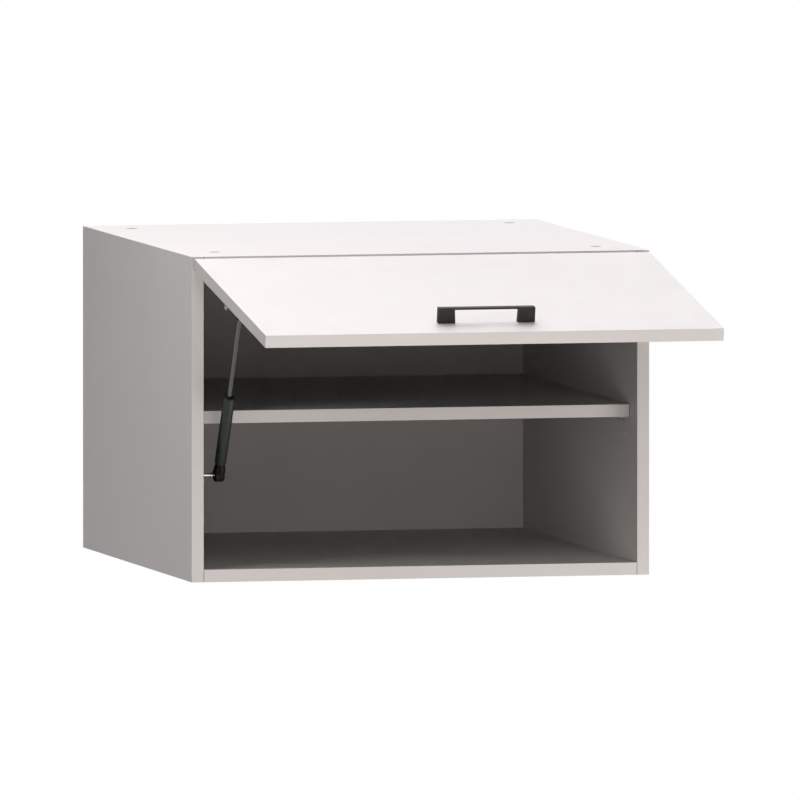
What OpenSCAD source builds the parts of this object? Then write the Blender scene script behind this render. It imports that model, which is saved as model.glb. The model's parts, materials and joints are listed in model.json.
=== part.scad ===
// Deep wall cabinet with one shelf and a lift-up flap held open by a gas strut.
// Millimetres. +X right, +Y towards the wall, +Z up. The origin is the centre of
// the back panel's rear face. The flap is drawn open and turns down to close.

/* [Cabinet] */
// Width over both side panels
cabinet_w = 600; // [500:10:900]
// Height of the side panels
cabinet_h = 416; // [400:2:500]
// Depth of the side panels, without the back panel
cabinet_d = 630; // [500:10:700]
// Thickness of the boards
board_t = 16; // [15:0.5:18]
// Thickness of the back panel
back_t = 3; // [2.5:0.5:4]
// Thickness of the edge banding
band_t = 0.5; // [0.4:0.1:1]

/* [Shelf] */
// From the cabinet's top to the shelf's upper face
shelf_drop = 200; // [190:1:230]
// From the cabinet's front to the shelf's front edge
shelf_setback = 39; // [36:1:80]
// Play at each end of the shelf
shelf_play = 1; // [0.5:0.1:1.5]
// From the front edge, or the back panel, to the shelf pins
pin_setback = 70; // [60:1:110]
// Distance from the pin hole down to the spare hole
pin_pitch = 20; // [16:1:32]
// Diameter of the shelf pins
pin_d = 5; // [4:0.5:6]

/* [Joinery] */
// Diameter of the cam locks
cam_d = 15; // [12:0.5:16]
// From the side panel's inner face to a cam's centre
cam_reach = 34; // [28:1:40]
// From the front edge to the front cams
cam_front = 86; // [60:1:110]
// From the rear edge to the rear cams
cam_rear = 64; // [50:1:100]
// Diameter of the wooden dowels
dowel_d = 8; // [6:1:8]
// Length of the wooden dowels
dowel_len = 30; // [24:1:34]
// Distance from a cam bolt to its dowel
dowel_pitch = 32; // [24:1:40]
// Diameter of the back panel's nails
nail_d = 1.4; // [1.2:0.1:1.8]
// Length of the back panel's nails
nail_len = 20; // [15:1:25]

/* [Flap] */
// Margin between the flap's edge and the cabinet's outline
flap_reveal = 2; // [1.5:0.25:3]
// Gap between the closed flap and the cabinet's front
flap_gap = 2.5; // [2.25:0.25:3]
// Angle of the open flap from the closed one
open_angle = 80; // [75:1:85]

/* [Handle] */
// Length of the handle
handle_len = 126; // [120:1:160]
// Width of each foot
handle_foot = 20; // [16:1:24]
// Height of the handle over the flap
handle_rise = 20; // [16:1:30]
// Depth of the handle, along the flap
handle_depth = 9; // [8:0.5:12]
// Thickness of the handle's bar
handle_bar = 2.5; // [2:0.5:4]
// Distance between the handle's screws
handle_pitch = 96; // [92:1:100]
// From the flap's lower edge to the handle's middle
handle_drop = 53; // [30:1:90]

/* [Hinges] */
// From the cabinet's side to each hinge's middle
hinge_inset = 100; // [90:1:140]
// Diameter of the hinge cup
cup_d = 35; // [33:0.5:36]
// Depth of the cup's bore in the flap
cup_depth = 11.5; // [11:0.25:12.5]
// From the flap's edge to the rim of the cup's bore
cup_edge = 3.5; // [3:0.25:4]
// Thickness of the hinge's sheet steel
hinge_sheet = 1.2; // [1:0.1:1.4]
// Width of the hinge arm
arm_w = 14; // [13:0.5:15]
// Diameter of the link pins
link_pin_d = 2.2; // [2:0.1:2.4]

/* [Gas strut] */
// From the side panel's inner face to the strut's axis
strut_inset = 27; // [24:1:32]
// From the cabinet's front back to the lower ball
strut_setback = 33.5; // [30:0.5:38]
// From the cabinet's top down to the lower ball
strut_drop = 281.5; // [275:0.5:290]
// From the flap's upper edge to the upper ball
bracket_drop = 100.5; // [98:0.5:104]
// From the flap's inner face to the upper ball
bracket_reach = 22.5; // [22:0.5:24]
// Diameter of the strut's cylinder
tube_d = 15; // [14:0.5:16]
// Wall of the strut's cylinder
tube_wall = 1.2; // [1:0.1:1.5]
// Length of the strut's cylinder
tube_len = 105; // [103:1:115]
// Diameter of the piston rod
rod_d = 6; // [5:0.5:7]
// Diameter of the balls
ball_d = 10; // [9:0.5:10.5]
// Diameter of the ball sockets
socket_d = 18; // [17:0.5:19]
// Width of the ball sockets
socket_w = 16; // [15:0.5:18]

/* [Hangers] */
// Width of a hanger housing, off the side panel
hanger_w = 19; // [18:0.5:24]
// Depth of a hanger housing
hanger_d = 44; // [40:1:50]
// Height of a hanger housing
hanger_h = 62; // [56:1:70]
// How far the hooks stand out behind the cabinet
hook_out = 9; // [7:0.5:12]

/* [Hidden] */
$fn = 48;

// Clearances
fit = 0.05;        // round a pin or a screw in its hole
seat = 0.3;        // between pieces of two bodies that nearly touch
eps = 0.01;        // past a face, for clean cuts

// Planes of the cabinet
x_out = cabinet_w / 2;
x_in = x_out - board_t;
y_back = -back_t;
y_front = y_back - cabinet_d;
z_top = cabinet_h / 2;
z_under = z_top - board_t;
shelf_top = z_top - shelf_drop;
shelf_under = shelf_top - board_t;

// Flap, in the closed position: u runs forward of the cabinet's front, v up from its top
flap_w = cabinet_w - 2 * flap_reveal;
flap_h = cabinet_h - 2 * flap_reveal;
flap_face = flap_gap + board_t;
flap_foot = -(cabinet_h - flap_reveal);

// The flap turns about one effective axis, which the hinge's two links set
pivot_reach = 10.25;
pivot_drop = 6.85;
pivot = [flap_gap + pivot_reach, -(flap_reveal + pivot_drop)];

function turned(p, a) = [p[0] * cos(a) - p[1] * sin(a), p[0] * sin(a) + p[1] * cos(a)];
function opened(p) = pivot + turned(p - pivot, open_angle);

// Pins of the links, the arm's ones measured back and down from the flap's axis.
// A cup pin lies where its link has one length in both end positions
outer_pin_back = 3.75;
outer_pin_down = 21.65;
inner_pin_back = 10.55;
inner_pin_down = 20.05;
outer_arm_pin = pivot - [outer_pin_back, outer_pin_down];
inner_arm_pin = pivot - [inner_pin_back, inner_pin_down];
outer_cup_reach = 10.2;
inner_cup_reach = 4.8;
function cup_pin(arm_pin, reach) =
    let (to_pivot = pivot - arm_pin,
         swing = to_pivot - turned(to_pivot, -open_angle),
         across = [swing[1], -swing[0]] / norm(swing))
    pivot + reach * (across[0] > 0 ? -across : across);
outer_cup_pin = opened(cup_pin(outer_arm_pin, outer_cup_reach));
inner_cup_pin = opened(cup_pin(inner_arm_pin, inner_cup_reach));

// Hinge details
hinge_x = x_out - hinge_inset;
cup_r = cup_d / 2 - fit;
cup_mid = -(flap_reveal + cup_edge + cup_d / 2);
cup_inner_r = cup_r - 0.9;
cup_floor = cup_depth - fit - 0.9;
flange_t = 1;
ear_x = 22.5;
ear_drop = 5.5;
ear_r = 6.5;
link_eye_r = 2.5;
cup_eye_r = link_pin_d / 2 + 0.7;
link_half = 1.25;
fork_out = arm_w / 2 - hinge_sheet - 0.2;
fork_in = fork_out - 1.2;
hub_half = fork_in - 1;
arm_root = -62;
arm_roof = outer_arm_pin[1] + 2.5;
plate_base_t = 2;
plate_mid = -46;
plate_half = 18;
plate_ear_x = 16;
plate_ear_r = 7;
plate_screw_u = plate_mid + 9;

// Strut, in the open position
strut_x = -x_in + strut_inset;
lower_ball = [-strut_setback, -strut_drop];
upper_closed = [flap_gap - bracket_reach, -(flap_reveal + bracket_drop)];
upper_ball = opened(upper_closed);
strut_len = norm(upper_ball - lower_ball);
strut_lean = atan2(upper_ball[0] - lower_ball[0], upper_ball[1] - lower_ball[1]);
neck_len = 15.5;
tube_base = 3;
stub_len = 8;
stub_r = 3;
guide_len = 8;
piston_len = 6;
piston_top = neck_len + tube_len - guide_len - 0.5;
ball_r = ball_d / 2;
stud_r = 2.5;
collar_r = 3.3;
sheet_t = 1.5;
leg_out = strut_x - strut_inset + 7;
leg_in = leg_out - sheet_t;

// Hanger details
hook_t = 8;
hook_h = 26;
hook_top = z_under - 12;
slot_margin = 1.5;

// Wood screws of the fittings, and the machine screws of hinge arms, adjusters and handle
screw_d = 3.5;
screw_head = 7;
screw_head_h = 2.2;
machine_d = 4;
machine_head = 6.5;
machine_head_h = 2;
plate_screw_len = 15;
hanger_screw_len = 14;
cup_screw_len = 13;
cup_screw_head_h = 1.4;
bracket_screw_len = 13;
wall_screw_len = 15;
arm_screw_len = 8;
adjuster_len = 6;
adjuster_head_h = 2.5;
handle_screw_head = 8;

BOARD = [0.93, 0.92, 0.91];
BAND = [0.88, 0.87, 0.86];
STEEL = [0.72, 0.73, 0.74];
BLACK = [0.12, 0.12, 0.12];

// ---- placing helpers ----

// Extrudes an outline drawn in u and v between two x values
module across(x0, x1)
    translate([x1, y_front, z_top]) rotate([90, 0, -90]) linear_extrude(x1 - x0) children();

// A round bar along x at a point in u and v
module bar_at(x0, x1, p, r) across(x0, x1) translate(p) circle(r);

// Turns what is drawn on the closed flap into the open position
module on_flap()
    translate([0, y_front - pivot[0], z_top + pivot[1]]) rotate([-open_angle, 0, 0])
        translate([0, pivot[0] - y_front, -pivot[1] - z_top]) children();

// Places children at u, v and x, with local z pointing forward, off the flap or the front
module facing_front(x, u, v) translate([x, y_front - u, z_top + v]) rotate([90, 0, 0]) children();

// Places children a distance up the open strut, with local z along it
module along_strut(distance)
    translate([strut_x, y_front - lower_ball[0], z_top + lower_ball[1]])
        rotate([strut_lean, 0, 0]) translate([0, 0, distance]) children();

// Puts children on the left and mirrored on the right
module both_sides() {
    children();
    mirror([1, 0, 0]) children();
}

// A screw along +z with its head's top at z = 0 and the shank below
module screw(shank_d, length, head_d, head_h) {
    difference() {
        union() {
            translate([0, 0, -head_h]) cylinder(h = head_h, d1 = head_d * 0.8, d2 = head_d);
            translate([0, 0, -length]) cylinder(h = length - head_h + eps, d = shank_d);
        }
        for (a = [0, 90]) rotate([0, 0, a]) translate([-head_d * 0.3, -head_d * 0.07, -head_h * 0.6])
            cube([head_d * 0.6, head_d * 0.14, head_h]);
    }
}

// The hole that such a screw's shank needs, from z = 0 down
module screw_hole(shank_d, length)
    translate([0, 0, -length - 1]) cylinder(h = length + 2, d = shank_d + 2 * fit);

// ---- joinery of the carcass ----

cam_ys = [y_front + cam_front, y_back - cam_rear];
dowel_ys = [cam_ys[0] + dowel_pitch, cam_ys[1] - dowel_pitch];
joint_zs = [z_top - board_t / 2, -z_top + board_t / 2];
cam_h = 12.5;
bolt_thread = 11;
bolt_thread_d = 5;
bolt_shank_d = 6;
bolt_head_d = 6.8;
dowel_in_side = 11;
pin_depth = 9;
pin_z = shelf_under - pin_d / 2 - 0.05;
pin_ys = [y_front + pin_setback, y_back - pin_setback];

// Runs children once per joint of a side panel, at the middle of the joined board's end
module at_joints(ys) for (y = ys, z = joint_zs) translate([x_in, y, z]) rotate([0, 90, 0]) children();

// Every hole that joinery and fittings need in one side panel, drawn on the right
module side_holes() {
    at_joints(cam_ys) translate([0, 0, -1]) cylinder(h = bolt_thread + 1.5, d = bolt_thread_d + 2 * fit);
    at_joints(dowel_ys) translate([0, 0, -1]) cylinder(h = dowel_in_side + 1.5, d = dowel_d + 2 * fit);
    for (y = pin_ys, z = [pin_z, pin_z - pin_pitch])
        translate([x_in - 1, y, z]) rotate([0, 90, 0]) cylinder(h = pin_depth + 1.5, d = pin_d + 2 * fit);
    hanger_screw_places() screw_hole(screw_d, hanger_screw_len);
    side_nail_places() nail_hole();
}

module side_panel() {
    difference() {
        translate([x_in, y_front + band_t, -z_top]) cube([board_t, cabinet_d - band_t, cabinet_h]);
        side_holes();
    }
}

module side_panel_right() color(BOARD) side_panel();

module side_panel_left() color(BOARD) difference() {
    mirror([1, 0, 0]) side_panel();
    strut_wall_screw_places() screw_hole(screw_d, wall_screw_len - 1);
    strut_rivet_hollow();
}

// A board between the sides, with the cams let in from the face that points outwards
module crosswise_board(outer_face) {
    difference() {
        translate([-x_in, y_front + band_t, outer_face > 0 ? z_under : -z_top])
            cube([2 * x_in, cabinet_d - band_t, board_t]);
        both_sides() {
            for (y = cam_ys) {
                translate([x_in - cam_reach, y, outer_face * z_top]) rotate([outer_face > 0 ? 180 : 0, 0, 0])
                    translate([0, 0, -1]) cylinder(h = cam_h + 1.1, d = cam_d + 2 * fit);
                translate([x_in + 1, y, outer_face * (z_top - board_t / 2)]) rotate([0, -90, 0])
                    cylinder(h = cam_reach + 1, d = bolt_head_d + 4 * fit);
            }
            for (y = dowel_ys) translate([x_in + 1, y, outer_face * (z_top - board_t / 2)])
                rotate([0, -90, 0]) cylinder(h = dowel_len - dowel_in_side + 1.5, d = dowel_d + 2 * fit);
        }
        edge_nail_places(outer_face) nail_hole();
    }
}

module top_panel() color(BOARD) difference() {
    crosswise_board(1);
    hinge_plate_screw_places() screw_hole(screw_d, plate_screw_len - 1);
}

module bottom_panel() color(BOARD) crosswise_board(-1);

// ---- back panel and its nails ----

back_margin = 1;
nail_head_d = 3.4;
nail_head_h = 0.6;
nail_cols = 4;
nail_rows = 3;
nail_edge = 40;

module nail_hole()
    translate([0, 0, -nail_len - 0.5]) cylinder(h = nail_len + 1.5, d = nail_d + 2 * fit, $fn = 16);

// Nails in the top or bottom board, heads towards the wall
module edge_nail_places(outer_face)
    for (i = [0 : nail_cols - 1])
        translate([-x_in + nail_edge + i * (2 * x_in - 2 * nail_edge) / (nail_cols - 1), 0,
                   outer_face * (z_top - board_t / 2)]) rotate([-90, 0, 0]) children();

// Nails in the right side panel
module side_nail_places() {
    nail_step = (cabinet_h - 2 * nail_edge) / (nail_rows - 1);
    for (i = [0 : nail_rows - 1])
        translate([x_out - board_t / 2, 0, -z_top + nail_edge + i * nail_step])
            rotate([-90, 0, 0]) children();
}

module back_nails() color(STEEL) {
    for (face = [1, -1]) edge_nail_places(face) nail();
    both_sides() side_nail_places() nail();
}

module nail() {
    translate([0, 0, -nail_head_h]) cylinder(h = nail_head_h, d = nail_head_d, $fn = 16);
    translate([0, 0, -nail_len]) cylinder(h = nail_len - nail_head_h + eps, d = nail_d, $fn = 16);
}

module back_panel() color([0.9, 0.9, 0.88]) difference() {
    translate([-x_out + back_margin, y_back, -z_top + back_margin])
        cube([cabinet_w - 2 * back_margin, back_t, cabinet_h - 2 * back_margin]);
    for (face = [1, -1]) edge_nail_places(face) back_nail_cut();
    both_sides() {
        side_nail_places() back_nail_cut();
        hook_slot();
    }
}

// Cut-out for a hanger's hook
module hook_slot()
    translate([x_in - hanger_w / 2 - hook_t / 2 - slot_margin, y_back - 1, hook_top - hook_h - slot_margin])
        cube([hook_t + 2 * slot_margin, back_t + 2, hook_h + 2 * slot_margin]);

module back_nail_cut() {
    nail_hole();
    translate([0, 0, -nail_head_h - fit]) cylinder(h = 2, d = nail_head_d + 2 * fit, $fn = 16);
}

// ---- edge bands of the carcass ----

module carcass_edge_bands() color(BAND) {
    both_sides() translate([x_in, y_front, -z_top]) cube([board_t, band_t, cabinet_h]);
    for (z = [z_under, -z_top]) translate([-x_in, y_front, z]) cube([2 * x_in, band_t, board_t]);
}

// ---- shelf ----

module shelf() color(BOARD)
    translate([-x_in + shelf_play, y_front + shelf_setback + band_t, shelf_under])
        cube([2 * (x_in - shelf_play), cabinet_d - shelf_setback - band_t, board_t]);

module shelf_edge_band() color(BAND)
    translate([-x_in + shelf_play, y_front + shelf_setback, shelf_under])
        cube([2 * (x_in - shelf_play), band_t, board_t]);

// Steel pins with a collar against the side panel
module shelf_pins() color(STEEL) both_sides() for (y = pin_ys)
    translate([x_in + pin_depth, y, pin_z]) rotate([0, -90, 0]) {
        cylinder(h = pin_depth + 8, d = pin_d);
        translate([0, 0, pin_depth]) cylinder(h = shelf_play - 0.2, d = pin_d + 3);
    }

// ---- cams, bolts and dowels ----

module cam_lock() difference() {
    cylinder(h = cam_h, d = cam_d);
    // throat for the bolt's head, and the mouth that it enters by
    translate([-3, 0, board_t / 2]) rotate([0, 90, 0]) cylinder(h = 6, d = bolt_head_d + 2);
    translate([0, 0, board_t / 2]) rotate([0, 90, 0]) cylinder(h = cam_d, d = bolt_head_d + 0.6);
    // cross recess in the outer face
    for (a = [45, 135]) rotate([0, 0, a]) translate([-4.5, -0.6, -1]) cube([9, 1.2, 3.5]);
}

module cam_locks() color([0.62, 0.62, 0.6]) both_sides() for (y = cam_ys) {
    translate([x_in - cam_reach, y, z_top]) rotate([180, 0, 0]) cam_lock();
    translate([x_in - cam_reach, y, -z_top]) cam_lock();
}

// The bolt's thread sits in the side panel and its head in the cam
module cam_bolt() {
    translate([0, 0, -cam_reach]) {
        cylinder(h = cam_reach + bolt_thread, d = bolt_thread_d);
        translate([0, 0, -1]) cylinder(h = 2.5, d = bolt_head_d);
        translate([0, 0, 6]) cylinder(h = cam_reach - 6, d = bolt_shank_d);
    }
}

module cam_bolts() color(STEEL) both_sides() at_joints(cam_ys) cam_bolt();

module wood_dowels() color([0.8, 0.66, 0.45]) both_sides() at_joints(dowel_ys)
    translate([0, 0, dowel_in_side - dowel_len]) cylinder(h = dowel_len, d = dowel_d);

// ---- wall hangers in the upper rear corners ----

// Moulded housing on the side panel, open to the rear for the hook
module hanger_housing() difference() {
    translate([x_in - hanger_w, y_back - hanger_d, z_under - hanger_h - seat])
        cube([hanger_w, hanger_d, hanger_h]);
    translate([x_in - hanger_w / 2 - hook_t / 2 - fit, hook_root - 2, hook_top - hook_h - slot_margin])
        cube([hook_t + 2 * fit, hanger_d, hook_h + 2 * slot_margin]);
    adjuster_places() translate([0, 0, -7]) cylinder(h = 8, d = 7);
    hanger_screw_places() screw_hole(screw_d, hanger_screw_len);
    hanger_screw_places() translate([0, 0, -2.5]) cylinder(h = hanger_w + 3, d = 8);
}

// Two adjusting screws in the front face of a housing
module adjuster_places()
    for (z = [z_under - 10, z_under - hanger_h + 12])
        translate([x_in - hanger_w / 2, y_back - hanger_d, z]) rotate([90, 0, 0]) children();

// Two screws from the housing into the side panel
module hanger_screw_places()
    for (y = [y_back - 10, y_back - hanger_d + 12])
        translate([x_in - 4, y, z_under - hanger_h + 8]) rotate([0, -90, 0]) children();

// Steel hook through the back panel, its nose turned down over the wall rail
hook_root = y_back - hanger_d + 8;
hook_throat = 14;
hook_nose_t = 4;
hook_ease = 2;
module hanger_hook()
    translate([x_in - hanger_w / 2 - hook_t / 2, 0, hook_top - hook_h]) rotate([90, 0, 90])
        linear_extrude(hook_t) polygon([
            [hook_root, hook_h], [hook_root, 0], [-1, 0], [-1, hook_throat],
            [hook_out - hook_nose_t, hook_throat], [hook_out - hook_nose_t, 1.5 * hook_ease],
            [hook_out - hook_ease / 2, hook_ease / 2], [hook_out, 2 * hook_ease],
            [hook_out, hook_h - hook_ease], [hook_out - hook_ease, hook_h]]);

module hanger_housing_right() color([0.94, 0.94, 0.93]) hanger_housing();
module hanger_housing_left() color([0.94, 0.94, 0.93]) mirror([1, 0, 0]) hanger_housing();
module hanger_hook_right() color(STEEL) hanger_hook();
module hanger_hook_left() color(STEEL) mirror([1, 0, 0]) hanger_hook();

module hanger_adjusters() color(STEEL) both_sides() adjuster_places()
    translate([0, 0, -0.5]) screw(machine_d, adjuster_len, machine_head, adjuster_head_h);

module hanger_screws() color(STEEL) both_sides()
    hanger_screw_places() screw(screw_d, hanger_screw_len, screw_head, screw_head_h);

// ---- hinges: plates and arms under the top panel ----

// Screws of both hinge plates, up into the top panel
module hinge_plate_screw_places()
    for (x = [-hinge_x, hinge_x], side = [-1, 1])
        translate([x + side * plate_ear_x, y_front - plate_screw_u, z_under - plate_base_t])
            rotate([180, 0, 0]) children();

module hinge_plate(x) difference() {
    union() {
        translate([x, y_front - plate_mid, z_under - plate_base_t]) {
            translate([-fork_out, -plate_half, 0]) cube([2 * fork_out, 2 * plate_half, plate_base_t]);
            translate([0, plate_mid - plate_screw_u, 0]) {
                translate([-plate_ear_x, -plate_ear_r, 0])
                    cube([2 * plate_ear_x, 2 * plate_ear_r, plate_base_t]);
                for (side = [-1, 1]) translate([side * plate_ear_x, 0, 0])
                    cylinder(h = plate_base_t, r = plate_ear_r);
            }
        }
        across(x - fork_out, x + fork_out) plate_rib_outline();
    }
    hinge_plate_screw_places() screw_hole(screw_d, plate_screw_len - 1);
    arm_screw_places(x) screw_hole(machine_d, arm_screw_len);
}

// The rib that fills the arm from the plate down to the arm's web
module plate_rib_outline() {
    rib_top = -board_t - plate_base_t + eps;
    rib_foot = arm_roof + hinge_sheet + 0.1;
    polygon([
        [plate_mid - plate_half, rib_top], [plate_mid + plate_half, rib_top],
        [plate_mid + plate_half - 4, rib_foot], [plate_mid - plate_half + 2, rib_foot]]);
}

// The screws that clamp and adjust an arm, from below
arm_screw_us = [plate_mid - 8, plate_mid + 8];
module arm_screw_places(x)
    for (u = arm_screw_us)
        translate([x, y_front - u, z_top + arm_roof - machine_head_h]) rotate([180, 0, 0]) children();

// Side view of the arm, down to its nose round the outer link's pin
module arm_outline() {
    polygon([
        [arm_root, -board_t - plate_base_t - seat], [arm_root, arm_roof],
        [inner_arm_pin[0] - 9, arm_roof], [inner_arm_pin[0] - 1, outer_arm_pin[1] - 3.2],
        [outer_arm_pin[0], outer_arm_pin[1] - 3.2], outer_arm_pin,
        outer_arm_pin + [-0.5, 3.1], inner_arm_pin + [1, 3.1], inner_arm_pin + [-4, 3.4],
        [inner_arm_pin[0] - 12, -board_t - plate_base_t - seat]]);
    translate(outer_arm_pin) circle(3.2);
    translate(inner_arm_pin) circle(3.1);
}

// The web between the arm's cheeks, which ends short of the links
module arm_web_outline() {
    nose = outer_arm_pin[1] - 3.2;
    web_end = inner_arm_pin[0] + 2.5;
    polygon([
        [arm_root, arm_roof], [inner_arm_pin[0] - 9, arm_roof], [inner_arm_pin[0] - 1, nose], [web_end, nose],
        [web_end, nose + hinge_sheet], [inner_arm_pin[0] - 0.4, nose + hinge_sheet],
        [inner_arm_pin[0] - 8.4, arm_roof + hinge_sheet], [arm_root, arm_roof + hinge_sheet]]);
}

// Pressed channel, open towards the top panel
module hinge_arm(x) difference() {
    union() {
        across(x - arm_w / 2, x - arm_w / 2 + hinge_sheet) arm_outline();
        across(x + arm_w / 2 - hinge_sheet, x + arm_w / 2) arm_outline();
        across(x - arm_w / 2, x + arm_w / 2) arm_web_outline();
    }
    for (p = [outer_arm_pin, inner_arm_pin]) bar_at(x - arm_w, x + arm_w, p, link_pin_d / 2 + fit);
    arm_screw_places(x) screw_hole(machine_d, arm_screw_len);
}

module hinge_plate_left() color(STEEL) hinge_plate(-hinge_x);
module hinge_plate_right() color(STEEL) hinge_plate(hinge_x);
module hinge_arm_left() color(STEEL) hinge_arm(-hinge_x);
module hinge_arm_right() color(STEEL) hinge_arm(hinge_x);
module hinge_plate_screws() color(STEEL)
    hinge_plate_screw_places() translate([0, 0, screw_head_h])
        screw(screw_d, plate_screw_len, screw_head, screw_head_h);
module hinge_arm_screws() color(STEEL)
    for (x = [-hinge_x, hinge_x]) arm_screw_places(x)
        screw(machine_d, arm_screw_len, machine_head, machine_head_h);

// ---- hinges: cups in the flap ----

module cup_flange_outline() difference() {
    union() {
        circle(cup_r + 1.5);
        translate([-ear_x, -ear_drop - ear_r]) square([2 * ear_x, 2 * ear_r]);
        for (side = [-1, 1]) translate([side * ear_x, -ear_drop]) circle(ear_r);
    }
    circle(cup_inner_r);
}

// Screws of both cups, through their flanges into the flap
module cup_screw_places()
    for (x = [-hinge_x, hinge_x], side = [-1, 1])
        translate([x + side * ear_x, y_front - flap_gap + flange_t, z_top + cup_mid - ear_drop])
            rotate([-90, 0, 0]) children();

// Pressed cup with its flange on the flap's inner face
module hinge_cup(x) on_flap() difference() {
    facing_front(x, flap_gap, cup_mid) {
        difference() {
            translate([0, 0, -eps]) cylinder(h = cup_depth - fit, r = cup_r);
            translate([0, 0, -1]) cylinder(h = cup_floor + 1, r = cup_inner_r);
        }
        translate([0, 0, -flange_t]) linear_extrude(flange_t) cup_flange_outline();
    }
    cup_screw_places() screw_hole(screw_d, cup_screw_len - 1);
}

module hinge_cup_left() color(STEEL) hinge_cup(-hinge_x);
module hinge_cup_right() color(STEEL) hinge_cup(hinge_x);
module hinge_cup_screws() color(STEEL)
    on_flap() cup_screw_places() translate([0, 0, cup_screw_head_h])
        screw(screw_d, cup_screw_len, screw_head, cup_screw_head_h);

// ---- hinges: links between arm and cup, each with its two pins ----

module link_outline(a, b, knee_at, knee_off) {
    along = (b - a) / norm(b - a);
    side = [-along[1], along[0]];
    knee = a + (b - a) * knee_at + side * knee_off;
    for (leg = [[a, knee], [knee, b]]) link_leg(leg[0], leg[1]);
    translate(knee) circle(link_half);
    translate(a) circle(link_eye_r);
    translate(b) circle(cup_eye_r);
}

module link_leg(a, b) {
    side = [a[1] - b[1], b[0] - a[0]] * link_half / norm(b - a);
    polygon([a + side, b + side, b - side, a - side]);
}

// Half the length of a cup pin that stays clear of the cup's wall. sway is how far the
// pin moves nearer to the rim in mid travel
function cup_pin_half(closed_pin, sway) =
    sqrt(pow(cup_inner_r, 2) - pow(closed_pin[1] - cup_mid + sway + link_pin_d / 2, 2)) - seat;

// Fork of two cheeks, with a stub pin out of each cheek at both ends
module outer_link(x) {
    pin_r = link_pin_d / 2;
    cup_half = cup_pin_half(cup_pin(outer_arm_pin, outer_cup_reach), 2.8);
    for (s = [-1, 1]) {
        x0 = x + (s > 0 ? fork_in : -fork_out);
        across(x0, x0 + fork_out - fork_in) link_outline(outer_arm_pin, outer_cup_pin, 0.5, -0.5);
        arm_end = x + s * (arm_w / 2);
        bar_at(min(x + s * fork_in, arm_end), max(x + s * fork_in, arm_end), outer_arm_pin, pin_r);
        cup_end = x + s * cup_half;
        bar_at(min(x + s * fork_in, cup_end), max(x + s * fork_in, cup_end), outer_cup_pin, pin_r);
    }
    bar_at(x - fork_in - eps, x + fork_in + eps, outer_arm_pin, pin_r);
}

// Narrow link inside the fork, with a pin through each end
module inner_link(x) {
    cup_half = cup_pin_half(cup_pin(inner_arm_pin, inner_cup_reach), 0.8);
    across(x - hub_half, x + hub_half) link_outline(inner_arm_pin, inner_cup_pin, 0.73, -2.2);
    bar_at(x - arm_w / 2, x + arm_w / 2, inner_arm_pin, link_pin_d / 2);
    bar_at(x - cup_half, x + cup_half, inner_cup_pin, link_pin_d / 2);
}

module hinge_outer_link_left() color(STEEL) outer_link(-hinge_x);
module hinge_outer_link_right() color(STEEL) outer_link(hinge_x);
module hinge_inner_link_left() color(STEEL) inner_link(-hinge_x);
module hinge_inner_link_right() color(STEEL) inner_link(hinge_x);

// ---- flap ----

module flap_board(w, h) translate([-w / 2, y_front - flap_face, z_top + flap_foot + flap_h / 2 - h / 2])
    cube([w, board_t, h]);

module flap_panel() color(BOARD) on_flap() difference() {
    flap_board(flap_w - 2 * band_t, flap_h - 2 * band_t);
    for (x = [-hinge_x, hinge_x])
        facing_front(x, flap_gap - 1, cup_mid) cylinder(h = cup_depth + 1, d = cup_d);
    cup_screw_places() screw_hole(screw_d, cup_screw_len - 1);
    handle_screw_places() translate([0, 0, -board_t - 1]) cylinder(h = board_t + 2, d = machine_d + 2 * fit);
    bracket_screw_places() screw_hole(screw_d, bracket_screw_len - 1);
}

// Bands on the four edges, the upper and lower ones over the ends of the others
module flap_edge_bands() color(BAND) on_flap() {
    for (v = [flap_foot, -flap_reveal - band_t])
        translate([-flap_w / 2, y_front - flap_face, z_top + v]) cube([flap_w, board_t, band_t]);
    both_sides() translate([flap_w / 2 - band_t, y_front - flap_face, z_top + flap_foot + band_t])
        cube([band_t, board_t, flap_h - 2 * band_t]);
}

bumper_d = 8;
bumper_drop = 20;
module flap_bumpers() color([0.85, 0.85, 0.85]) on_flap() both_sides()
    translate([x_out - board_t / 2, y_front - seat, z_top + flap_foot + bumper_drop])
        rotate([90, 0, 0]) cylinder(h = flap_gap - seat, d1 = bumper_d - 2, d2 = bumper_d);

// ---- handle on the flap's outer face ----

module handle_screw_places()
    for (side = [-1, 1])
        translate([side * handle_pitch / 2, y_front - flap_gap, z_top + flap_foot + handle_drop])
            rotate([-90, 0, 0]) children();

// Bridge outline: u off the flap against x
module handle_outline() {
    foot_in = handle_len / 2 - handle_foot;
    half = handle_len / 2;
    easing = 0.6;
    polygon([
        [-half, 0], [-half, handle_rise - easing], [-half + easing, handle_rise],
        [half - easing, handle_rise], [half, handle_rise - easing], [half, 0],
        [foot_in, 0], [foot_in + 1, handle_rise - handle_bar],
        [-foot_in - 1, handle_rise - handle_bar], [-foot_in, 0]]);
}

module handle() color(BLACK) on_flap() difference() {
    translate([0, y_front - flap_face, z_top + flap_foot + handle_drop - handle_depth / 2])
        rotate([0, 0, 180]) linear_extrude(handle_depth) handle_outline();
    handle_screw_places() translate([0, 0, -board_t - 10]) cylinder(h = 12, d = machine_d + 2 * fit);
}

module handle_screws() color(STEEL) on_flap() handle_screw_places()
    translate([0, 0, screw_head_h]) screw(machine_d, board_t + 10, handle_screw_head, screw_head_h);

// ---- strut: wall plate and lower ball stud on the left side panel ----

wall_plate_w = 16;
wall_plate_h = 46;
wall_screw_pitch = 32;
wall_plate_x = -x_in + sheet_t;

module strut_wall_screw_places()
    for (dz = [-wall_screw_pitch / 2, wall_screw_pitch / 2])
        translate([wall_plate_x, y_front - lower_ball[0], z_top + lower_ball[1] + dz])
            rotate([0, 90, 0]) children();

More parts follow.
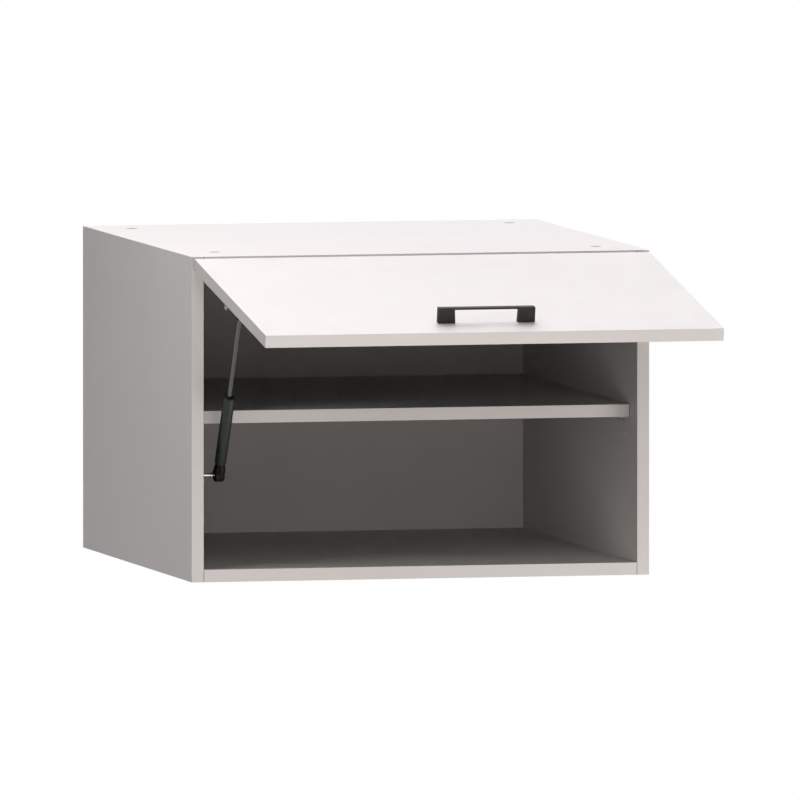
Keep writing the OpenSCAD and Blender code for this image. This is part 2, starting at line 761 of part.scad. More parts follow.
module strut_wall_plate() color(STEEL) difference() {
    across(-x_in, wall_plate_x) translate(lower_ball) {
        square([wall_plate_w, wall_plate_h - wall_plate_w], center = true);
        for (s = [-1, 1]) translate([0, s * (wall_plate_h - wall_plate_w) / 2]) circle(d = wall_plate_w);
    }
    strut_wall_screw_places() screw_hole(screw_d, wall_screw_len - 3);
    bar_at(-x_in - 1, wall_plate_x + 1, lower_ball, stud_r + fit);
}

module strut_wall_screws() color(STEEL) strut_wall_screw_places()
    translate([0, 0, screw_head_h]) screw(screw_d, wall_screw_len, screw_head, screw_head_h);

module strut_rivet_hollow() bar_at(-x_in - 2, -x_in + 1, lower_ball, stud_r + 1);

module ball_stud(x_root, ball) {
    bar_at(x_root, strut_x, ball, stud_r);
    bar_at(strut_x - socket_w / 2 - seat - 2.5, strut_x - socket_w / 2 - seat, ball, collar_r);
    translate([strut_x, y_front - ball[0], z_top + ball[1]]) rotate([0, 90, 0]) sphere(r = ball_r);
}

module strut_lower_ball_stud() color(STEEL) ball_stud(-x_in - 1, lower_ball);

// ---- strut: bracket on the flap ----

bracket_foot = 32;
flange_w = 20;
bracket_tip_r = 5;

module bracket_screw_places()
    for (dv = [-14, -26])
        translate([leg_out + flange_w / 2, y_front - flap_gap + sheet_t, z_top + upper_closed[1] + dv])
            rotate([-90, 0, 0]) children();

module strut_flap_bracket() color(STEEL) on_flap() difference() {
    union() {
        across(leg_in, leg_out) {
            translate(upper_closed) circle(bracket_tip_r);
            polygon([
                upper_closed + bracket_tip_r * [-0.9, -0.4], upper_closed + [0, bracket_tip_r],
                [flap_gap, upper_closed[1] + bracket_tip_r], [flap_gap, upper_closed[1] - bracket_foot]]);
        }
        across(leg_in, leg_out + flange_w) translate([flap_gap - sheet_t, upper_closed[1] - bracket_foot])
            square([sheet_t, bracket_foot - 5]);
        bar_at(leg_in - 1, leg_in + eps, upper_closed, 3.5);
    }
    bracket_screw_places() screw_hole(screw_d, bracket_screw_len - 1);
}

module strut_bracket_screws() color(STEEL)
    on_flap() bracket_screw_places() translate([0, 0, screw_head_h])
        screw(screw_d, bracket_screw_len, screw_head, screw_head_h);

// ---- strut: cylinder, rod and sockets, in the open position ----

// Ball socket with a ribbed neck along +z, open on the stud's side
module ball_socket() difference() {
    union() {
        rotate([0, 90, 0]) rotate_extrude() polygon([
            [0, -socket_w / 2], [socket_d / 2 - 1.2, -socket_w / 2], [socket_d / 2, -socket_w / 2 + 1.2],
            [socket_d / 2, socket_w / 2 - 1.2], [socket_d / 2 - 1.2, socket_w / 2], [0, socket_w / 2]]);
        cylinder(h = neck_len, r1 = 6.6, r2 = 4.6);
        for (a = [0 : 45 : 315]) rotate([90, 0, a]) translate([0, 0, -0.6]) linear_extrude(1.2)
            polygon([[0, 3], [7.6, 3], [7.6, 7], [5.3, neck_len - 0.4], [0, neck_len - 0.4]]);
    }
    sphere(r = ball_r + fit);
    rotate([0, -90, 0]) cylinder(h = socket_w, r = collar_r + 0.7);
    translate([0, 0, neck_len - stub_len - 0.3]) cylinder(h = stub_len + 1, r = stub_r + fit);
}

module strut_lower_socket() color(BLACK) along_strut(0) ball_socket();

module strut_cylinder() color([0.2, 0.22, 0.21]) along_strut(neck_len) {
    difference() {
        cylinder(h = tube_len, d = tube_d);
        translate([0, 0, tube_base]) cylinder(h = tube_len, d = tube_d - 2 * tube_wall);
    }
    translate([0, 0, -stub_len]) cylinder(h = stub_len + eps, r = stub_r);
}

module strut_rod_guide() color(BLACK) along_strut(neck_len + tube_len - guide_len) difference() {
    cylinder(h = guide_len, d = tube_d - 2 * tube_wall - 2 * fit);
    translate([0, 0, -1]) cylinder(h = guide_len + 2, d = rod_d + 2 * fit);
}

module strut_rod() color([0.6, 0.6, 0.6]) along_strut(piston_top - piston_len) {
    rod_len = strut_len - neck_len - piston_top + piston_len;
    cylinder(h = rod_len, d = rod_d);
    translate([0, 0, rod_len - eps]) cylinder(h = stub_len + eps, r = min(stub_r, rod_d / 2) - 0.2);
}

module strut_piston() color(BLACK) along_strut(piston_top - piston_len) difference() {
    cylinder(h = piston_len, d = tube_d - 2 * tube_wall - 0.1);
    translate([0, 0, -1]) cylinder(h = piston_len + 2, d = rod_d + 2 * fit);
}

module strut_upper_socket() color(BLACK)
    along_strut(strut_len) rotate([0, 180, 0]) mirror([1, 0, 0]) ball_socket();

module strut_upper_ball_stud() color(STEEL) ball_stud(leg_out + seat, upper_ball);

side_panel_left();
side_panel_right();
top_panel();
bottom_panel();
back_panel();
carcass_edge_bands();
shelf();
shelf_edge_band();
shelf_pins();
cam_locks();
cam_bolts();
wood_dowels();
back_nails();
hanger_housing_left();
hanger_housing_right();
hanger_hook_left();
hanger_hook_right();
hanger_adjusters();
hanger_screws();
hinge_plate_left();
hinge_plate_right();
hinge_arm_left();
hinge_arm_right();
hinge_plate_screws();
hinge_arm_screws();
strut_wall_plate();
strut_lower_ball_stud();
strut_wall_screws();
flap_panel();
flap_edge_bands();
flap_bumpers();
handle();
handle_screws();
hinge_cup_left();
hinge_cup_right();
hinge_cup_screws();
strut_flap_bracket();
strut_bracket_screws();
hinge_outer_link_left();
hinge_outer_link_right();
hinge_inner_link_left();
hinge_inner_link_right();
strut_cylinder();
strut_rod_guide();
strut_lower_socket();
strut_rod();
strut_piston();
strut_upper_socket();
strut_upper_ball_stud();
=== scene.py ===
# %% [markdown]
# # A deep wall cabinet with a lift-up flap
# The cabinet is white chipboard with a plastic face. Its one door is a flap that a gas strut
# holds open. The boards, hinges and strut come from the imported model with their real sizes.
# This lesson dresses them: eased edges, real screw heads, and a finish for every material.
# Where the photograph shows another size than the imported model, the text says so.

# %% Load the frame
import json
import math
import bmesh
import bpy
from mathutils import Matrix, Vector

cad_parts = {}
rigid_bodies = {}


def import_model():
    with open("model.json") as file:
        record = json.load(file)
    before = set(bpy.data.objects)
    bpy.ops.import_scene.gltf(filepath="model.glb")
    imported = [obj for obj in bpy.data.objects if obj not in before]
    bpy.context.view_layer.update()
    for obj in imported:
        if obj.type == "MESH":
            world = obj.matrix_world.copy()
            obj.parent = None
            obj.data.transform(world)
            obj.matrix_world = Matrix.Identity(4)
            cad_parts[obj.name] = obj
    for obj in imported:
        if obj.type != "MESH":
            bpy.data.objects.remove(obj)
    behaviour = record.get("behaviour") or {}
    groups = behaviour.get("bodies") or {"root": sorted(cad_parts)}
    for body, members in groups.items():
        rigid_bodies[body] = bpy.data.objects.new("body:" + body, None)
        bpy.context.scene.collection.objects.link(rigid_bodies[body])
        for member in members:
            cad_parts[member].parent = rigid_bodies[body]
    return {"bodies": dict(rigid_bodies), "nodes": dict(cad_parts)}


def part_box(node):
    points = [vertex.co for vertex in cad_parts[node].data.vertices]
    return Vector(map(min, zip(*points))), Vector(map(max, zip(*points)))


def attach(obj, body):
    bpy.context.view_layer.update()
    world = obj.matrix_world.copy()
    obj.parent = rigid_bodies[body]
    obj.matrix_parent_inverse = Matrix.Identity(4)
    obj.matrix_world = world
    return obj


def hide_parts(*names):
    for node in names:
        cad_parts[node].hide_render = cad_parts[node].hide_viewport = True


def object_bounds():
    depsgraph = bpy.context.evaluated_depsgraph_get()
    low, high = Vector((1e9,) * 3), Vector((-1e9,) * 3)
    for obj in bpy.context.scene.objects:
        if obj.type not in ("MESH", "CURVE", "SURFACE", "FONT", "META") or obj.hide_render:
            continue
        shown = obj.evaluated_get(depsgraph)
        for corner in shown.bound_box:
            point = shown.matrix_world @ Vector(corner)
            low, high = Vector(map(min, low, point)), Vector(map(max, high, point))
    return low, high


for leftover in list(bpy.data.objects):
    bpy.data.objects.remove(leftover)
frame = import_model()
nodes = frame["nodes"]
cad_box = [list(corner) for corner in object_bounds()]
MM = 0.001
WELD = 0.000004  # corners nearer than this are one corner
node_body = {name: body for body, empty in frame["bodies"].items()
             for name in nodes if nodes[name].parent == empty}
node_slot = {name: obj.data.materials[0].name.split(".")[0] for name, obj in nodes.items()}
print("box", cad_box)

# %% [markdown]
# ## How the finishes are made
# Every finish is a small tree of shader nodes round one Principled shader. A real surface
# is never one flat colour: its tone drifts a little, its gloss is uneven, and it has a fine
# relief. So one helper builds those three from noise that reads Object coordinates, which
# are metres here, so that a grain keeps its real size. Each finish then only states its own
# colours, gloss and grain. Values that are the same all over go on the shader's own socket.

# %% A helper for finishes
FINISHES = {}
MIX_FACTOR, MIX_FIRST, MIX_SECOND, MIX_RESULT = 0, 6, 7, 2  # a Mix node's sockets for colours


def maths(tree, operation, *values):
    """One step of arithmetic in a node tree, on numbers and on the outputs of nodes."""
    made = tree.nodes.new("ShaderNodeMath")
    made.operation = operation
    for socket, value in zip(made.inputs, values):
        if isinstance(value, float):
            socket.default_value = value
        else:
            tree.links.new(value, socket)
    return made.outputs[0]


class Finish:
    """A node material that is built up step by step."""

    def __init__(self, name):
        self.material = bpy.data.materials.new("finish_" + name)
        self.material.use_nodes = True
        self.tree = self.material.node_tree
        self.shader = self.tree.nodes["Principled BSDF"]
        self.place = self.add("ShaderNodeTexCoord").outputs["Object"]
        FINISHES[name] = self.material

    def add(self, kind, **sockets):
        made = self.tree.nodes.new(kind)
        for key, value in sockets.items():
            made.inputs[key.replace("_", " ")].default_value = value
        return made

    def link(self, source, target):
        self.tree.links.new(source, target)

    def stretched(self, scale):
        mapping = self.add("ShaderNodeMapping")
        mapping.inputs["Scale"].default_value = scale
        self.link(self.place, mapping.inputs["Vector"])
        return mapping.outputs["Vector"]

    def noise(self, scale, detail=3.0, stretch=None, roughness=0.5):
        made = self.add("ShaderNodeTexNoise", Scale=scale, Detail=detail, Roughness=roughness)
        self.link(self.stretched(stretch) if stretch else self.place, made.inputs["Vector"])
        return made.outputs["Fac"]

    def between(self, factor, low, high, start=0.35, end=0.65):
        """A number that goes from low to high as the noise goes from start to end."""
        made = self.add("ShaderNodeMapRange")
        limits = {"From Min": start, "From Max": end, "To Min": low, "To Max": high}
        for key, value in limits.items():
            made.inputs[key].default_value = value
        self.link(factor, made.inputs["Value"])
        return made.outputs["Result"]

    def blend(self, factor, first, second):
        """A colour between two others; each is a colour or the output of a node."""
        made = self.add("ShaderNodeMix")
        made.data_type = "RGBA"
        for socket, value in ((MIX_FIRST, first), (MIX_SECOND, second)):
            if isinstance(value, tuple):
                made.inputs[socket].default_value = (*value, 1.0)
            else:
                self.link(value, made.inputs[socket])
        self.link(factor, made.inputs[MIX_FACTOR])
        return made.outputs[MIX_RESULT]

    def colour(self, value):
        self.link(value, self.shader.inputs["Base Color"])

    def drift(self, factor, first, second):
        """Lets the colour wander between two tones as the noise does."""
        self.colour(self.blend(self.between(factor, 0.0, 1.0), first, second))

    def gloss(self, factor, low, high):
        self.link(self.between(factor, low, high), self.shader.inputs["Roughness"])

    def relief(self, height, depth, strength=1.0):
        """Adds relief of the given depth, in metres, over any that is already there."""
        made = self.add("ShaderNodeBump", Strength=strength, Distance=depth)
        self.link(height, made.inputs["Height"])
        normal = self.shader.inputs["Normal"]
        if normal.is_linked:
            self.link(normal.links[0].from_socket, made.inputs["Normal"])
        self.link(made.outputs["Normal"], normal)

    def constant(self, **sockets):
        for key, value in sockets.items():
            self.shader.inputs[key.replace("_", " ")].default_value = value


print("finish helper ready")

# %% [markdown]
# ## White board and its edge band
# The boards have a melamine face: white, satin, with a pearl so fine that it only breaks up
# the gloss. A close look also shows a faint cloudiness, and the gloss wanders from place to
# place. The edge band is a plastic strip in the same white, a little glossier and with lines
# along its length. Coarse noise gives the tone and fine noise the relief. Where the bands of
# two boards meet at the cabinet's front, a thin dark line of painted shade marks the groove.

# %% White melamine board
WHITE = (0.86, 0.852, 0.842)
WHITE_CLOUD = (0.845, 0.837, 0.827)
board = Finish("white_board")
board.drift(board.noise(5.0, 4.0), WHITE, WHITE_CLOUD)
board.gloss(board.noise(38.0, 5.0), 0.44, 0.56)
board.relief(board.noise(1400.0, 2.0), 0.00003, 0.35)
board.relief(board.noise(24.0, 2.0), 0.00005, 0.15)
board.constant(IOR=1.45)

# %% Plastic edge band
BAND_WHITE = (0.85, 0.838, 0.825)
BAND_SHADE = (0.82, 0.806, 0.79)
# painted shade: the colour of a thin dark line painted where the bands meet, for the shade in the
# groove between them
JOINT_PAINTED_SHADE = (0.16, 0.15, 0.14)
JOINT_X = 0.284  # the inner faces of the side boards
JOINT_HALF = 0.35 * MM
FRONT_Y = -0.633
FRONT_REACH = 3 * MM  # keeps the line off the flap's and the shelf's bands
band = Finish("edge_band")
lines = band.noise(60.0, 2.0, stretch=(0.05, 1.0, 1.0))
plain = band.blend(band.between(band.noise(9.0, 3.0), 0.0, 1.0), BAND_WHITE, BAND_SHADE)
place = band.add("ShaderNodeSeparateXYZ")
band.link(band.place, place.inputs[0])
sideways = maths(band.tree, "ABSOLUTE", place.outputs["X"])
off_joint = maths(band.tree, "ABSOLUTE", maths(band.tree, "SUBTRACT", sideways, JOINT_X))
off_front = maths(band.tree, "ABSOLUTE", maths(band.tree, "SUBTRACT", place.outputs["Y"], FRONT_Y))
# where that line of painted shade goes: at a side board's inner face, along the cabinet's front
painted_joint_shade = maths(band.tree, "MULTIPLY", maths(band.tree, "LESS_THAN", off_joint, JOINT_HALF),
              maths(band.tree, "LESS_THAN", off_front, FRONT_REACH))
# paints the shade line over the band's own colour
band.colour(band.blend(painted_joint_shade, plain, JOINT_PAINTED_SHADE))
band.gloss(lines, 0.34, 0.46)
band.relief(lines, 0.00002, 0.3)
band.relief(band.noise(1100.0, 2.0), 0.00002, 0.3)
print("board and band finishes", WHITE, BAND_WHITE)

# %% [markdown]
# ## The back panel
# A cabinet back is 3 mm hardboard. Its inner face is lacquered white to match. The face that
# goes against the wall stays bare brown fibre. One material does both: it asks which way
# the face looks, and mixes in the fibre colour where that is towards the wall.

# %% Hardboard, lacquered inside
FIBRE = (0.23, 0.135, 0.07)
FIBRE_DARK = (0.15, 0.082, 0.042)
LACQUER = (0.80, 0.79, 0.77)
LACQUER_CLOUD = (0.775, 0.765, 0.745)
back = Finish("back_board")
facing = back.add("ShaderNodeSeparateXYZ")
back.link(back.tree.nodes["Texture Coordinate"].outputs["Normal"], facing.inputs[0])
rear = back.between(facing.outputs["Y"], 0.0, 1.0, 0.5, 0.6)
strands = back.noise(420.0, 6.0, stretch=(1.0, 1.0, 0.35), roughness=0.7)
fibres = back.blend(back.between(strands, 0.0, 1.0), FIBRE, FIBRE_DARK)
lacquer = back.blend(back.between(back.noise(6.0, 3.0), 0.0, 1.0), LACQUER, LACQUER_CLOUD)
back.colour(back.blend(rear, lacquer, fibres))
back.gloss(strands, 0.5, 0.68)
back.relief(strands, 0.00008, 0.25)
print("hardboard finish", LACQUER, FIBRE)

# %% [markdown]
# ## Wood and metals
# The dowels are beech, with grain along their length. The fittings are nickel-plated steel
# that was brushed before plating, so fine lines make the gloss uneven. The cams are cast
# zinc, grey and grainy. The screws are plated like the fittings, and the ball studs are
# bright zinc plate. A plated metal is a full metal in the shader; only its roughness and the
# tint of its reflection change.

# %% Beech, nickel, zinc and bright plate
beech = Finish("beech")
grain = beech.noise(260.0, 5.0, stretch=(0.06, 1.0, 1.0))
beech.drift(grain, (0.62, 0.42, 0.24), (0.43, 0.26, 0.13))
beech.gloss(grain, 0.5, 0.7)
beech.relief(grain, 0.00006, 0.5)

nickel = Finish("fitting_steel")
brushed = nickel.noise(700.0, 3.0, stretch=(1.0, 0.08, 1.0))
nickel.drift(nickel.noise(90.0), (0.66, 0.655, 0.64), (0.56, 0.553, 0.54))
nickel.gloss(brushed, 0.2, 0.36)
nickel.relief(brushed, 0.00001, 0.4)
nickel.constant(Metallic=1.0)

zinc = Finish("zinc")
cast = zinc.noise(900.0, 5.0, roughness=0.6)
zinc.drift(zinc.noise(160.0), (0.27, 0.266, 0.262), (0.20, 0.198, 0.196))
zinc.gloss(cast, 0.38, 0.58)
zinc.relief(cast, 0.00004, 0.5)
zinc.constant(Metallic=0.85)

plate = Finish("stud_zinc")
smear = plate.noise(220.0, 3.0)
plate.drift(smear, (0.56, 0.555, 0.55), (0.47, 0.468, 0.465))
plate.gloss(smear, 0.14, 0.26)
plate.relief(plate.noise(1500.0, 2.0), 0.00001, 0.3)
plate.constant(Metallic=1.0)
print("metal finishes ready")

# %% [markdown]
# ## Handle, strut and plastics
# The handle is powder coated: matt black with a fine orange-peel relief. The strut's
# cylinder has a dark paint with a hint of green. Its rod is ground and hardened, and has a
# dark base colour under a mirror polish. The ball sockets are glass-filled nylon, the hanger
# boxes are smooth white plastic and the bumpers are clear silicone.

# %% Powder coat, strut paint and rod
powder = Finish("handle_black")
peel = powder.noise(1500.0, 3.0)
powder.drift(powder.noise(120.0), (0.052, 0.047, 0.043), (0.042, 0.038, 0.034))
powder.gloss(powder.noise(300.0), 0.56, 0.68)
powder.relief(peel, 0.00005, 0.35)
powder.constant(Specular_IOR_Level=0.25)

strut = Finish("strut_paint")
flow = strut.noise(70.0, 3.0)
strut.drift(flow, (0.021, 0.029, 0.025), (0.025, 0.034, 0.029))
strut.gloss(flow, 0.34, 0.40)
strut.relief(strut.noise(800.0, 2.0), 0.00001, 0.2)
strut.constant(Specular_IOR_Level=0.35)

rod = Finish("rod_chrome")
ground = rod.noise(500.0, 2.0, stretch=(0.1, 1.0, 1.0))
rod.drift(ground, (0.10, 0.108, 0.104), (0.13, 0.138, 0.134))
rod.gloss(ground, 0.06, 0.12)
rod.constant(Metallic=1.0, Sheen_Weight=0.7, Sheen_Roughness=0.25)

# %% Nylon, hanger plastic and silicone
nylon = Finish("black_nylon")
glass_fill = nylon.noise(1200.0, 4.0)
nylon.drift(nylon.noise(200.0), (0.003, 0.0029, 0.0028), (0.006, 0.0058, 0.0056))
nylon.gloss(glass_fill, 0.42, 0.56)
nylon.relief(glass_fill, 0.00003, 0.4)
nylon.constant(Specular_IOR_Level=0.16)

hanger = Finish("hanger_plastic")
hanger.drift(hanger.noise(30.0), (0.83, 0.825, 0.81), (0.80, 0.793, 0.775))
hanger.gloss(hanger.noise(150.0), 0.3, 0.42)
hanger.relief(hanger.noise(1000.0, 2.0), 0.00002, 0.3)

silicone = Finish("bumper_silicone")
silicone.drift(silicone.noise(400.0), (0.80, 0.80, 0.79), (0.72, 0.72, 0.71))
silicone.gloss(silicone.noise(600.0), 0.25, 0.4)
silicone.relief(silicone.noise(900.0, 2.0), 0.00003, 0.3)
silicone.constant(Transmission_Weight=0.55, IOR=1.41)
print("finishes", sorted(FINISHES))

# %% [markdown]
# ## Put the finishes on the frame
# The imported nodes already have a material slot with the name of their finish, so the new
# material goes into that slot. Nothing about a node's shape or place changes.

# %% Dress every node
for name, obj in nodes.items():
    obj.data.materials[0] = FINISHES[node_slot[name]]
print("dressed", len(nodes), "nodes")

# %% [markdown]
# ## Boards with eased edges
# A sawn and banded board never has a knife edge: the band is trimmed with a small radius,
# and that radius catches a line of light along every front edge. A copy of each board's
# mesh is welded, its flat faces are joined, and its long outer edges get a small bevel.
# Short edges round the bores stay as they are, so the holes keep their size.

# %% Helpers for eased copies
FLAT = math.radians(0.4)  # faces that meet at less than this are one flat face
SOFT = 35  # degrees: smooth shading up to this angle, a crisp edge beyond
ROUND = dict(smooth_angle=50, sharpest=70, steps=3)  # how the rims of turned pieces are rounded


def placed(name, data):
    """Adds an object to the scene."""
    obj = bpy.data.objects.new(name, data)
    bpy.context.scene.collection.objects.link(obj)
    return obj


def take_over(obj, node, finish=None):
    """Makes a piece stand for a node, on its body and, unless one is named, in its finish."""
    finish = finish or node_slot[node]
    if not obj.data.materials:
        obj.data.materials.append(FINISHES[finish])
    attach(obj, node_body[node])
    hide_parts(node)
    return obj


def welded(node):
    """A merged bmesh copy of a node, with its flat faces joined."""
    shape = bmesh.new()
    shape.from_mesh(nodes[node].data)
    bmesh.ops.remove_doubles(shape, verts=shape.verts, dist=WELD)
    bmesh.ops.dissolve_limit(shape, angle_limit=FLAT, verts=shape.verts, edges=shape.edges)
    return shape


def as_object(shape, name, smooth_angle=None):
    """Turns a bmesh into an object at the origin. smooth_angle rounds the shading under it."""
    mesh = bpy.data.meshes.new(name)
    shape.to_mesh(mesh)
    shape.free()
    if smooth_angle:
        mesh.shade_smooth()
        mesh.set_sharp_from_angle(angle=math.radians(smooth_angle))
    else:
        mesh.shade_flat()
    return placed(name, mesh)


def eased(node, radius, shortest, smooth_angle=None, sharpest=60, steps=2,
          reshape=None, finish=None):
    """A copy of a node whose edges over the shortest length have a radius, in millimetres."""
    shape = welded(node)
    if reshape:
        reshape(shape)
    sharp = [edge for edge in shape.edges
             if len(edge.link_faces) == 2 and edge.calc_length() > shortest * MM
             and edge.calc_face_angle() > math.radians(sharpest)]
    bmesh.ops.bevel(shape, geom=sharp, offset=radius * MM, segments=steps, profile=0.5,
                    affect="EDGES", clamp_overlap=True)
    print(node, "eased", len(sharp), "edges by", radius, "mm")
    return take_over(as_object(shape, node + "_eased", smooth_angle), node, finish)


# %% Ease the boards
BOARDS = ("side_panel_left", "side_panel_right", "top_panel", "bottom_panel", "flap_panel", "shelf")
BANDS = ("carcass_edge_bands", "flap_edge_bands", "shelf_edge_band")
BOARD_EDGE, BAND_EDGE = 0.25, 0.22
LONG_EDGE = 12.0  # edges round a bore are shorter
for name in BOARDS:
    eased(name, BOARD_EDGE, LONG_EDGE)
for name in BANDS:
    eased(name, BAND_EDGE, LONG_EDGE)

# %% [markdown]
# ## Hinge links
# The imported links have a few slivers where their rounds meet. Welding them gives clean faces.

# %% Weld the links
for kind in ("outer", "inner"):
    for side in ("left", "right"):
        name = f"hinge_{kind}_link_{side}"
        take_over(as_object(welded(name), name + "_welded", SOFT), name)
        print(name, "welded")

# %% [markdown]
# ## The handle
# The handle is a bridge of zinc alloy. Casting leaves a small radius on all its edges, and
# the powder coat rounds them a little more, so here every sharp edge over 2 mm long gets a
# radius of about half a millimetre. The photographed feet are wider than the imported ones, so
# their inner faces move in.

# %% Ease the handle
FOOT_IN = 43.5  # from the handle's middle to the inner faces of its feet
FOOT_REACH = 1.5  # every corner of those faces lies this near that distance
FOOT_GAIN = 2.3
HANDLE_EDGE, HANDLE_SHORTEST = 0.45, 2.0


def wider_feet(shape):
    """Moves the inner faces of both feet towards the handle's middle."""
    for vert in shape.verts:
        if abs(abs(vert.co.x) - FOOT_IN * MM) < FOOT_REACH * MM:
            vert.co.x -= math.copysign(FOOT_GAIN * MM, vert.co.x)


eased("handle", HANDLE_EDGE, HANDLE_SHORTEST, smooth_angle=SOFT, sharpest=30, reshape=wider_feet)

# %% [markdown]
# ## The end of the cylinder
# The cylinder's wall is rolled in over the rod guide, so that end is painted like the
# cylinder, and its rim is round.

# %% Round the rim
ANY_LENGTH = 0.05  # the edges of a round rim are short, and this takes them all
eased("strut_rod_guide", 0.5, ANY_LENGTH, finish="strut_paint", **ROUND)

# %% [markdown]
# ## Ball sockets
# A moulded socket snaps over the ball stud at each end of the strut. Its short barrel lies
# across the strut with chamfered ends and a round pocket for the ball. Its neck flares from
# the cylinder to the barrel and has eight ribs. Both are shapes of rings: the barrel's rings
# lie round the ball's axis, and the neck's rings lie across the strut and swell at each rib.
# Joining ring to ring gives clean quads, which a boolean of solids wouldn't. The photograph
# shows a narrower barrel and a longer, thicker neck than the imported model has.

# %% A helper that joins rings


def join_rings(shape, rings):
    """Adds a closed shell through rings of points, with a flat cap on the first and the last."""
    loops = [[shape.verts.new(point) for point in ring] for ring in rings]
    for lower, upper in zip(loops, loops[1:]):
        for i in range(len(lower)):
            j = (i + 1) % len(lower)
            shape.faces.new((lower[i], lower[j], upper[j], upper[i]))
    shape.faces.new(reversed(loops[0]))
    shape.faces.new(loops[-1])


# %% Shape and place the sockets
BALL_R = 5.05  # radius of the pocket
BALL_OFF_END = 5.0  # from the stud's free end to the ball's middle
BORE_R = 4.0  # radius of the barrel's opening
POCKET_TURNS = (0.15, 0.5, 0.9, 1.3, 1.7, 2.1)  # radians round the ball, from its pole
# Each ring is given by its distance from the ball's middle and its radius.
BARREL = ((-6.5, BORE_R), (-6.5, 6.6), (-5.1, 9.0), (-4.6, 8.8),
          (4.6, 8.8), (5.1, 9.0), (6.5, 6.6))
NECK = ((3.6, 7.2), (7.0, 7.1), (10.5, 6.7), (14.0, 6.0), (17.0, 5.3), (18.8, 4.95))
RIBS, RIB_RISE = 8, 0.75
RIB_STEEP, RIB_BROAD = 1.6, 0.2  # how steep a rib's flanks are and how broad its back is
ROUND_STEPS = 96
SOCKET_SOFT = 32


def strut_line(stud, other_stud):
    """The ball's centre of one stud, and the direction from it to the other stud's ball."""
    low, high = (Vector(corner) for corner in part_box(stud))
    low2, high2 = (Vector(corner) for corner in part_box(other_stud))
    ball = Vector((high.x - BALL_OFF_END * MM, (low.y + high.y) / 2, (low.z + high.z) / 2))
    other = Vector((ball.x, (low2.y + high2.y) / 2, (low2.z + high2.z) / 2))
    return ball, (other - ball).normalized()


def ball_socket(node, stud, other_stud):
    """A ribbed ball socket on one stud, with its neck towards the other."""
    ball, along = strut_line(stud, other_stud)
    across = Vector((1.0, 0.0, 0.0))
    third = along.cross(across)
    turns = [math.tau * i / ROUND_STEPS for i in range(ROUND_STEPS)]
    shape = bmesh.new()
    pocket = [(BALL_R * math.cos(t), BALL_R * math.sin(t)) for t in POCKET_TURNS]
    join_rings(shape, [
        [ball + (across * x + (along * math.cos(t) + third * math.sin(t)) * r) * MM for t in turns]
        for x, r in pocket + list(BARREL)])
    rise = [RIB_RISE * min(1.0, max(0.0, math.cos(RIBS * t) * RIB_STEEP + RIB_BROAD))
            for t in turns]
    join_rings(shape, [
        [ball + (along * height + (across * math.cos(t) + third * math.sin(t)) * (radius + up)) * MM
         for t, up in zip(turns, rise)]
        for height, radius in NECK])
    bmesh.ops.recalc_face_normals(shape, faces=shape.faces)
    print(node, "ball at", [round(v / MM, 1) for v in ball])
    return take_over(as_object(shape, node + "_ribbed", SOCKET_SOFT), node)


ball_socket("strut_lower_socket", "strut_lower_ball_stud", "strut_upper_ball_stud")
ball_socket("strut_upper_socket", "strut_upper_ball_stud", "strut_lower_ball_stud")

# %% [markdown]
# ## Studs and the cylinder's foot
# The collar of each turned stud is round like a bead. The photographed cylinder begins a
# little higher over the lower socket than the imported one, so its foot moves up the strut.

# %% Round the studs and lift the foot
FOOT_LIFT = 3.5
FOOT_ZONE = 30.0  # only the foot's corners lie this near the ball


def lifted_foot(shape):
    """Moves the cylinder's lower end up the strut; the other end stays."""
    ball, along = strut_line("strut_lower_ball_stud", "strut_upper_ball_stud")
    for vert in shape.verts:
        if (vert.co - ball).dot(along) < FOOT_ZONE * MM:
            vert.co += along * FOOT_LIFT * MM


eased("strut_lower_ball_stud", 0.6, ANY_LENGTH, **ROUND)
eased("strut_upper_ball_stud", 0.6, ANY_LENGTH, **ROUND)
eased("strut_cylinder", 0.8, ANY_LENGTH, reshape=lifted_foot, **ROUND)

# %% [markdown]
# ## Screws
# Twenty-six screws hold the fittings. Each has a domed head with a cross recess, a core
# with a point, and a thread that winds round it. They differ only in size, so one Geometry
# Nodes tree makes them all: it builds one screw from its named sizes, puts a copy on every
# point that it is given, turned the way that the point says, and joins them. The points are
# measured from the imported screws, so each new screw stands exactly where the old one did.

# %% One head with a cross recess, one unit wide and one unit high
HEAD_PROFILE = ((0.5, -1.0), (0.5, -0.55), (0.48, -0.36), (0.42, -0.18),
                (0.3, -0.06), (0.12, -0.004))  # radius, height
HEAD_STEPS = 32
RECESS = (0.56, 0.12, 0.55)  # arm length, arm width, depth


def applied(obj):
    """Turns an object's modifiers into plain mesh, and returns that mesh."""
    depsgraph = bpy.context.evaluated_depsgraph_get()
    mesh = bpy.data.meshes.new_from_object(obj.evaluated_get(depsgraph))
    obj.modifiers.clear()
    obj.data = mesh
    return mesh


def screw_head():
    """The head's mesh: a lathe shape with two crossed arms cut out of its top."""
    dome = bmesh.new()
    turns = [math.tau * i / HEAD_STEPS for i in range(HEAD_STEPS)]
    join_rings(dome, [[(r * math.cos(t), r * math.sin(t), z) for t in turns]
                      for r, z in HEAD_PROFILE])
    head = as_object(dome, "screw_head")
    arms = bmesh.new()
    length, width, depth = RECESS
    for size in ((length, width), (width, length)):
        at_top = Matrix.Translation((0.0, 0.0, 0.5 - depth)) @ Matrix.Diagonal((*size, 1.0, 1.0))
        bmesh.ops.create_cube(arms, size=1.0, matrix=at_top)
    cutter = as_object(arms, "screw_recess")
    cut = head.modifiers.new("recess", "BOOLEAN")
    cut.object, cut.operation, cut.solver, cut.use_self = cutter, "DIFFERENCE", "EXACT", True
    applied(head)
    bpy.data.objects.remove(cutter)
    return head


head_master = screw_head()
print("screw head faces", len(head_master.data.polygons))

